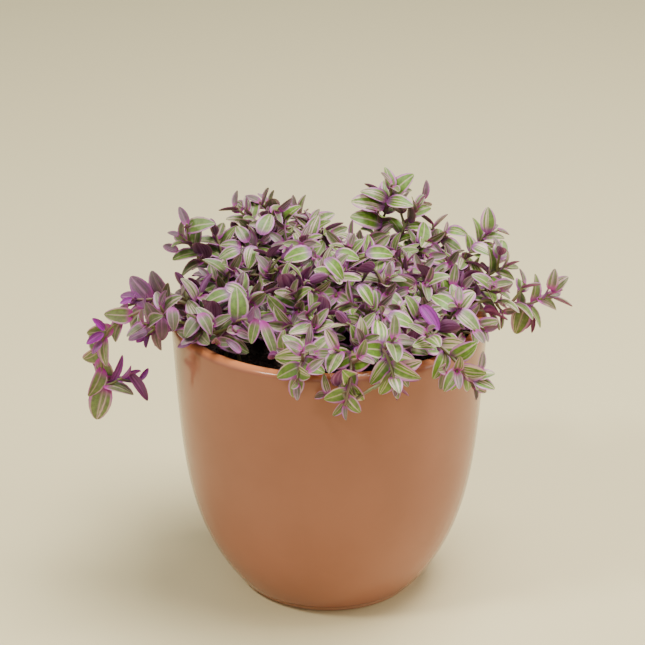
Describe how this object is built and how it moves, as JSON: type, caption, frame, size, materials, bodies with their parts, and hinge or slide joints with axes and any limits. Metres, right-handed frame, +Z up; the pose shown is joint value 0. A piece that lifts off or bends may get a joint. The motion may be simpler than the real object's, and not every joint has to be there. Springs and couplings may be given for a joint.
{
  "type": "potted trailing plant",
  "caption": "Small striped trailing vine in a glazed round pot: leafy stems rise in a low mound and hang over the rim.",
  "frame": {"origin": "centre of the pot's flat foot, on the surface that it stands on", "axes": "+Z up along the pot's axis; the front, as pictured, is towards -Y, and +X is to the right"},
  "size_m": [0.2044, 0.1725, 0.1692],
  "materials": {
    "glazed_pot": "gloss glaze",
    "potting_soil": "matte, crumbly",
    "vine": "satin, striped green, cream and pink"
  },
  "bodies": {
    "root": {"back_left": "vine", "back_trail": "vine", "crown_01": "vine", "crown_02": "vine", "crown_03": "vine", "crown_04": "vine", "crown_05": "vine", "crown_06": "vine", "crown_07": "vine", "crown_08": "vine", "crown_09": "vine", "crown_10": "vine", "crown_11": "vine", "crown_12": "vine", "crown_13": "vine", "crown_14": "vine", "crown_15": "vine", "crown_16": "vine", "crown_17": "vine", "crown_18": "vine", "crown_19": "vine", "crown_20": "vine", "crown_22": "vine", "crown_23": "vine", "crown_24": "vine", "crown_25": "vine", "crown_26": "vine", "crown_27": "vine", "front_middle": "vine", "front_right": "vine", "front_spray": "vine", "front_trail": "vine", "high_shoot": "vine", "high_twin": "vine", "left_back": "vine", "left_front": "vine", "left_lip": "vine", "left_middle": "vine", "left_reach": "vine", "left_trail": "vine", "peak_left": "vine", "peak_middle": "vine", "peak_right": "vine", "pot": "glazed_pot", "right_back": "vine", "right_lip": "vine", "right_peak": "vine", "right_reach": "vine", "right_shoulder": "vine", "right_trail": "vine", "soil": "potting_soil"}
  },
  "joints": []
}
